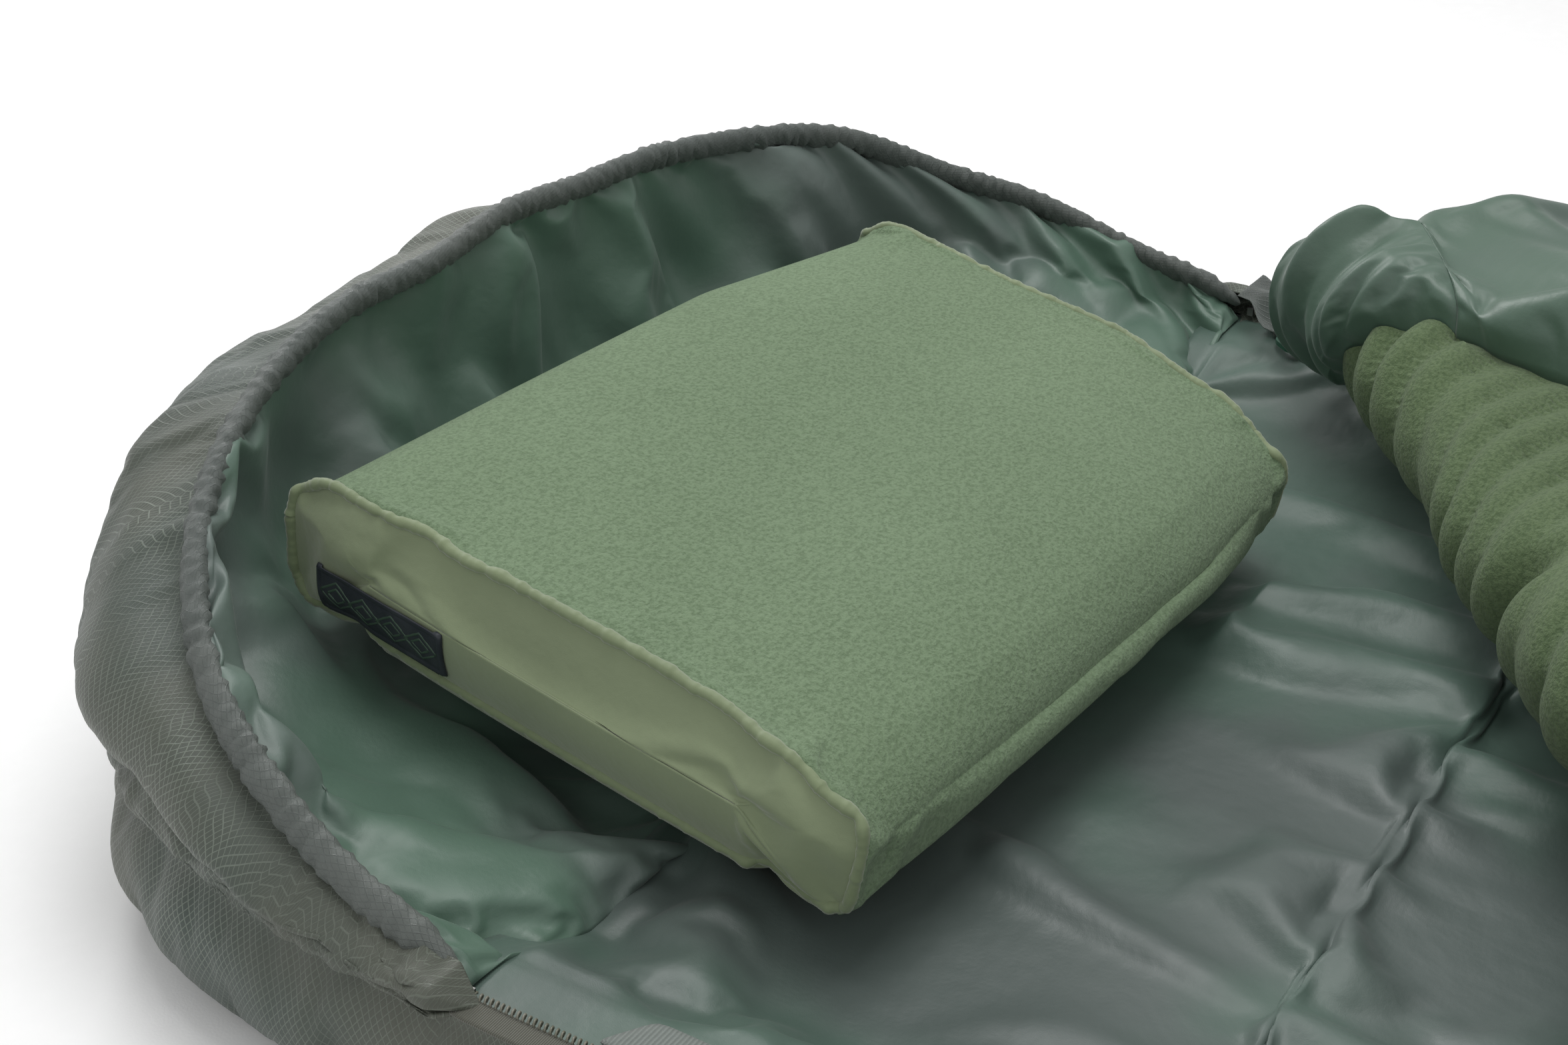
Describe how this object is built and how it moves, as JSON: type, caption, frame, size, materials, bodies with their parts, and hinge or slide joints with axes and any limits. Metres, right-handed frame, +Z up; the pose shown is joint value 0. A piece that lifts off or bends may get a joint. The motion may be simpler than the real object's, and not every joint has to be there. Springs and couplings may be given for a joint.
{
  "type": "padded bivy sleeping bag",
  "caption": "Hooded quilted bivy sleeping bag, its lid folded back over a padded neck baffle, with two-way side zips and a lift-out fleece pillow.",
  "frame": {"origin": "on the flat underside, midway between the tops of the two side zips", "axes": "+Z up, +Y towards the hood along the bag's length, +X across the bag"},
  "size_m": [0.947, 2.1785, 0.252],
  "materials": {
    "ripstop_shell": "woven ripstop with a fine diamond grid, slight sheen",
    "satin_lining": "smooth satin polyester, soft strong sheen",
    "fleece": "short brushed fleece, matt",
    "olive_polyester": "plain woven polyester, slight sheen",
    "wadding": "loose hollow-fibre filling",
    "zip_tape": "woven zip tape, matt",
    "zip_coil": "moulded nylon coil",
    "webbing": "flat woven webbing",
    "gunmetal": "dark plated zinc",
    "green_rubber": "moulded soft rubber, satin",
    "black_elastic": "covered elastic cord",
    "label_rubber": "moulded rubber patch, matt"
  },
  "bodies": {
    "base": {"base_shell": "ripstop_shell", "base_fill": "wadding", "base_lining": "satin_lining", "hood_shell": "ripstop_shell", "hood_fill": "wadding", "hood_lining": "satin_lining", "rim_channel": "ripstop_shell", "rim_elastic": "black_elastic", "base_zip_tapes": "zip_tape", "base_zip_coils": "zip_coil", "lid_zip_tapes": "zip_tape", "lid_zip_coils": "zip_coil", "anti_snag_webbing": "webbing", "zip_top_stops": "gunmetal", "zip_bottom_stops": "gunmetal", "zip_garage": "ripstop_shell", "lid_shell": "ripstop_shell", "lid_fill": "wadding", "lid_lining": "satin_lining", "foot_gusset": "ripstop_shell", "lid_bend": "satin_lining"},
    "lid_flap": {"flap_shell": "ripstop_shell", "flap_fill": "wadding", "flap_fleece": "fleece", "flap_zip_tape": "zip_tape", "flap_zip_coil": "zip_coil", "neck_baffle_cover": "satin_lining", "neck_baffle_fill": "wadding"},
    "near_slider": {"near_slider": "gunmetal"},
    "near_outer_puller": {"near_outer_link": "gunmetal", "near_outer_loop": "green_rubber"},
    "near_inner_puller": {"near_inner_link": "gunmetal", "near_inner_loop": "green_rubber"},
    "far_slider": {"far_slider": "gunmetal"},
    "far_outer_puller": {"far_outer_link": "gunmetal", "far_outer_loop": "green_rubber"},
    "far_inner_puller": {"far_inner_link": "gunmetal", "far_inner_loop": "green_rubber"},
    "pillow": {"pillow_fleece": "fleece", "pillow_side_band": "olive_polyester", "pillow_underside": "olive_polyester", "pillow_piping": "olive_polyester", "pillow_fill": "wadding", "pillow_label": "label_rubber"}
  },
  "joints": [
    {"name": "lid_fold", "type": "hinge", "parent": "base", "child": "lid_flap", "pos_m": [0.47723, -0.07193, 0.131], "axis": [-0.8387, -0.5446, 0], "range_deg": [0, 112], "deforming": ["lid_bend"]},
    {"name": "near_zip", "type": "slide", "parent": "base", "child": "near_slider", "axis": [0, 1, 0], "range_m": [-0.92, 0.654]},
    {"name": "near_outer_pull", "type": "hinge", "parent": "near_slider", "child": "near_outer_puller", "pos_m": [-0.452, -0.692, 0.0924], "axis": [-1, 0, 0], "range_deg": [0, 178]},
    {"name": "near_inner_pull", "type": "hinge", "parent": "near_slider", "child": "near_inner_puller", "pos_m": [-0.435, -0.692, 0.0811], "axis": [0, 0, -1], "range_deg": [-100, 20]},
    {"name": "far_zip", "type": "slide", "parent": "base", "child": "far_slider", "axis": [0, 1, 0], "range_m": [-1.575, 0]},
    {"name": "far_outer_pull", "type": "hinge", "parent": "far_slider", "child": "far_outer_puller", "pos_m": [0.452, -0.036, 0.0924], "axis": [-1, 0, 0], "range_deg": [0, 178]},
    {"name": "far_inner_pull", "type": "hinge", "parent": "far_slider", "child": "far_inner_puller", "pos_m": [0.435, -0.036, 0.0811], "axis": [0, 0, 1], "range_deg": [-100, 20]},
    {"name": "pillow_lift", "type": "slide", "parent": "base", "child": "pillow", "axis": [0, 0, 1], "range_m": [0, 0.35]}
  ]
}
